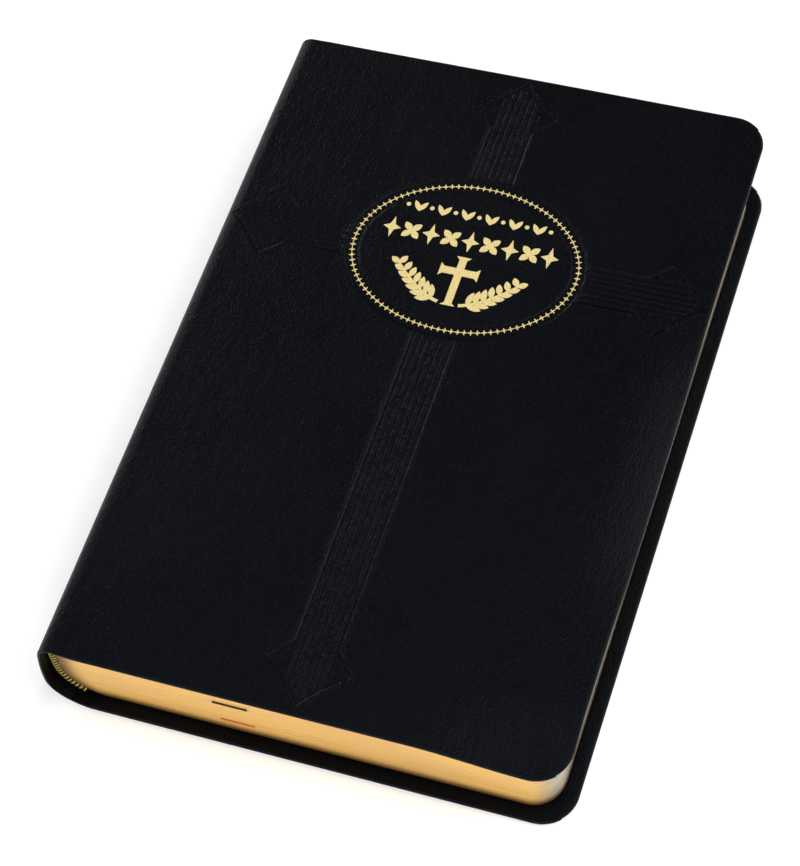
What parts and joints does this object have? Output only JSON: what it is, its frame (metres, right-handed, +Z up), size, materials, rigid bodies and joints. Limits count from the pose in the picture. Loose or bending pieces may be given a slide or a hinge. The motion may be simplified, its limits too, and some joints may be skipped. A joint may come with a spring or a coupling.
{
  "type": "flexible-cover bible",
  "caption": "Closed devotional book with a flexible black imitation-leather cover, round corners, gilt edges, striped headbands and two ribbon markers; covers and leaves open.",
  "frame": {"origin": "middle of the book's plan, on the surface it lies on", "axes": "+X from spine to fore-edge, +Y from tail to head, +Z up through the front cover"},
  "size_m": [0.162, 0.238, 0.0338],
  "materials": {
    "bible_paper": "gilt edges on thin white leaves",
    "endpaper": "matt",
    "black_leather": "satin, fine grain",
    "liner_card": "matt",
    "mull_cloth": "matt open weave",
    "kraft_lining": "matt",
    "thread": "matt",
    "band_tape": "matt",
    "striped_band": "matt, black and olive-yellow stripes",
    "red_satin": "satin",
    "black_satin": "satin"
  },
  "bodies": {
    "lower_block": {"section_01": "bible_paper", "section_02": "bible_paper", "section_03": "bible_paper", "section_04": "bible_paper", "section_05": "bible_paper", "section_06": "bible_paper", "section_07": "bible_paper", "section_08": "bible_paper", "section_09": "bible_paper", "section_10": "bible_paper", "section_11": "bible_paper", "section_12": "bible_paper", "section_13": "bible_paper", "section_14": "bible_paper", "section_15": "bible_paper", "section_16": "bible_paper", "section_17": "bible_paper", "spine_skin": "black_leather", "spine_inlay": "liner_card", "spine_mull": "mull_cloth", "spine_paper_lining": "kraft_lining", "sewing_threads": "thread", "tailband_tape": "band_tape", "headband_tape": "band_tape", "tailband_bead": "striped_band", "headband_bead": "striped_band", "red_ribbon": "red_satin", "black_ribbon": "black_satin"},
    "upper_block": {"section_18": "bible_paper", "section_19": "bible_paper", "section_20": "bible_paper", "section_21": "bible_paper", "section_22": "bible_paper", "section_23": "bible_paper", "section_24": "bible_paper", "section_25": "bible_paper", "section_26": "bible_paper", "section_27": "bible_paper", "section_28": "bible_paper", "section_29": "bible_paper", "section_30": "bible_paper", "section_31": "bible_paper"},
    "back_cover": {"back_cover_skin": "black_leather", "back_liner_board": "liner_card", "back_pastedown": "endpaper"},
    "front_cover": {"front_cover_skin": "black_leather", "front_liner_board": "liner_card", "front_pastedown": "endpaper"},
    "back_flyleaf": {"back_flyleaf": "endpaper"},
    "front_flyleaf": {"front_flyleaf": "endpaper"}
  },
  "joints": [
    {"name": "book_open", "type": "hinge", "parent": "lower_block", "child": "upper_block", "pos_m": [-0.0785, 0, 0.0185], "axis": [0, -1, 0], "range_deg": [0, 165], "deforming": ["spine_skin", "spine_inlay", "spine_mull", "spine_paper_lining", "sewing_threads", "tailband_tape", "headband_tape", "tailband_bead", "headband_bead"]},
    {"name": "front_cover_open", "type": "hinge", "parent": "upper_block", "child": "front_cover", "pos_m": [-0.0785, 0, 0.0338], "axis": [0, -1, 0], "range_deg": [0, 180]},
    {"name": "back_cover_open", "type": "hinge", "parent": "lower_block", "child": "back_cover", "pos_m": [-0.0785, 0, 0.001], "axis": [0, 1, 0], "range_deg": [0, 180]},
    {"name": "front_flyleaf_turn", "type": "hinge", "parent": "upper_block", "child": "front_flyleaf", "pos_m": [-0.0735, 0, 0.03195], "axis": [0, -1, 0], "range_deg": [0, 90]},
    {"name": "back_flyleaf_turn", "type": "hinge", "parent": "lower_block", "child": "back_flyleaf", "pos_m": [-0.0635, 0, 0.0018], "axis": [0, 1, 0], "range_deg": [0, 14.4]}
  ],
  "couplings": [
    {"joint": "front_flyleaf_turn", "follows": "front_cover_open", "ratio": 0.5},
    {"joint": "back_flyleaf_turn", "follows": "back_cover_open", "ratio": 0.08}
  ]
}
